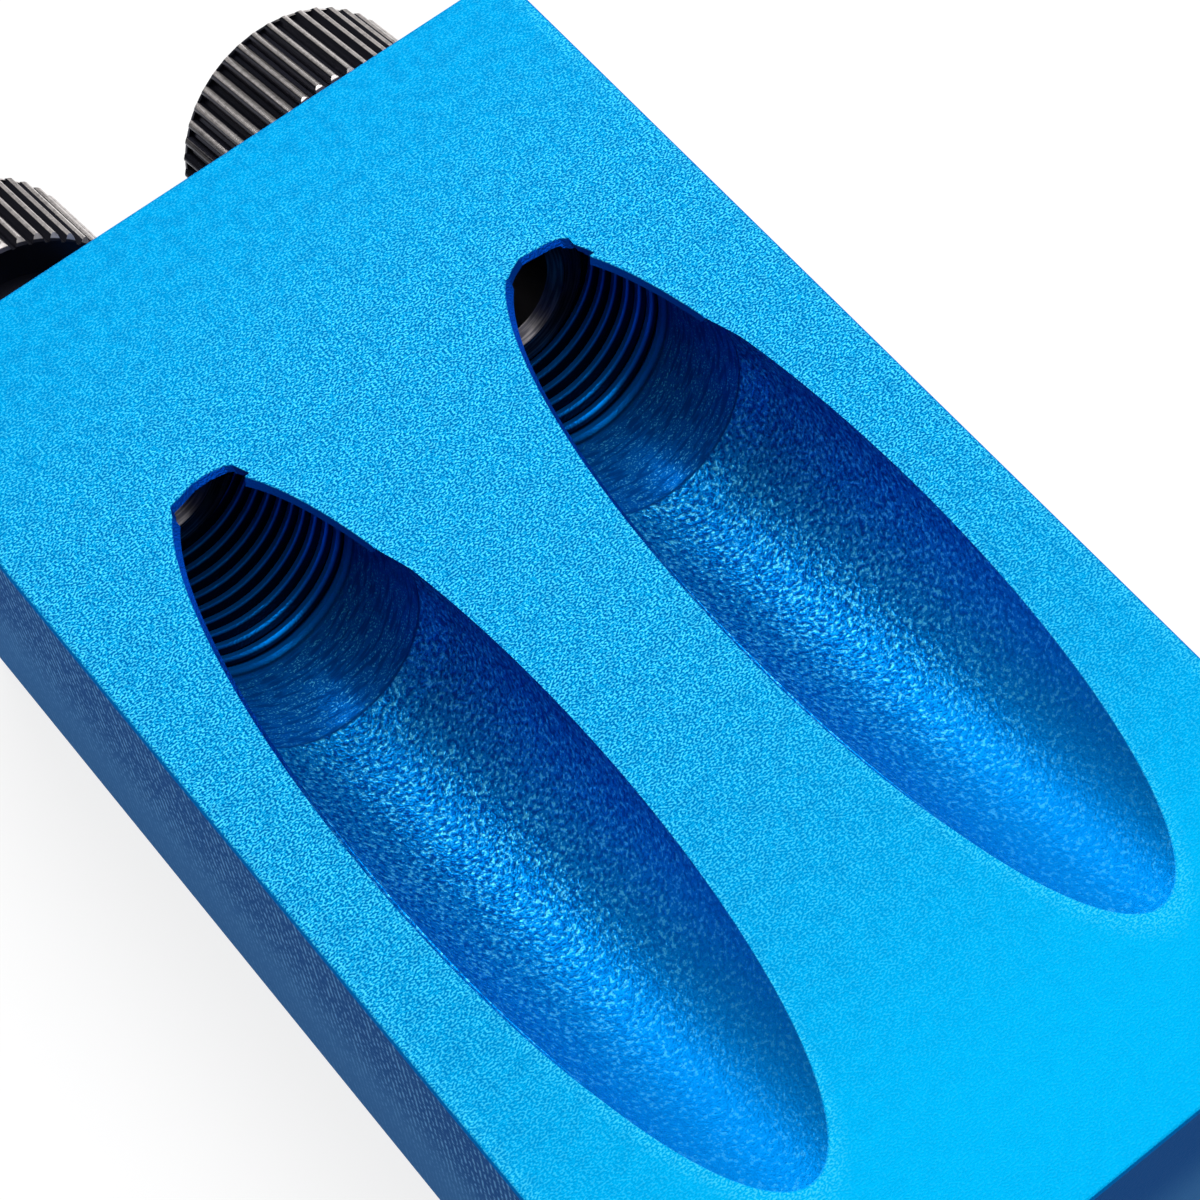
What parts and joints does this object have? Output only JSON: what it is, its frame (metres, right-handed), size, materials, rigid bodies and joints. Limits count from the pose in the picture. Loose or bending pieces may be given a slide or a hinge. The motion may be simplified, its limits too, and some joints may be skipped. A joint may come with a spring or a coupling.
{
  "type": "pocket hole jig",
  "caption": "Pocket hole jig: anodised aluminium block with slanted bores that open in its face, and knurled threaded guide sleeves for a stepped drill bit.",
  "frame": {"origin": "centre of the block's back face, on which the jig lies", "axes": "+Z out of the face with the openings, +Y along the block towards the guide sleeves, +X across the block"},
  "size_m": [0.058, 0.118, 0.029],
  "materials": {
    "anodised_aluminium": "bead-blasted, blue anodised",
    "blackened_steel": "black oxide"
  },
  "bodies": {
    "block": {"jig_block": "anodised_aluminium"},
    "left_sleeve": {"left_guide_sleeve": "blackened_steel"},
    "right_sleeve": {"right_guide_sleeve": "blackened_steel"}
  },
  "joints": [
    {"name": "left_sleeve_travel", "type": "slide", "parent": "block", "child": "left_sleeve", "axis": [0, 0.9659, -0.2588], "range_m": [-0.0091, 0.0116]},
    {"name": "right_sleeve_travel", "type": "slide", "parent": "block", "child": "right_sleeve", "axis": [0, 0.9659, -0.2588], "range_m": [-0.0042, 0.0165]}
  ]
}
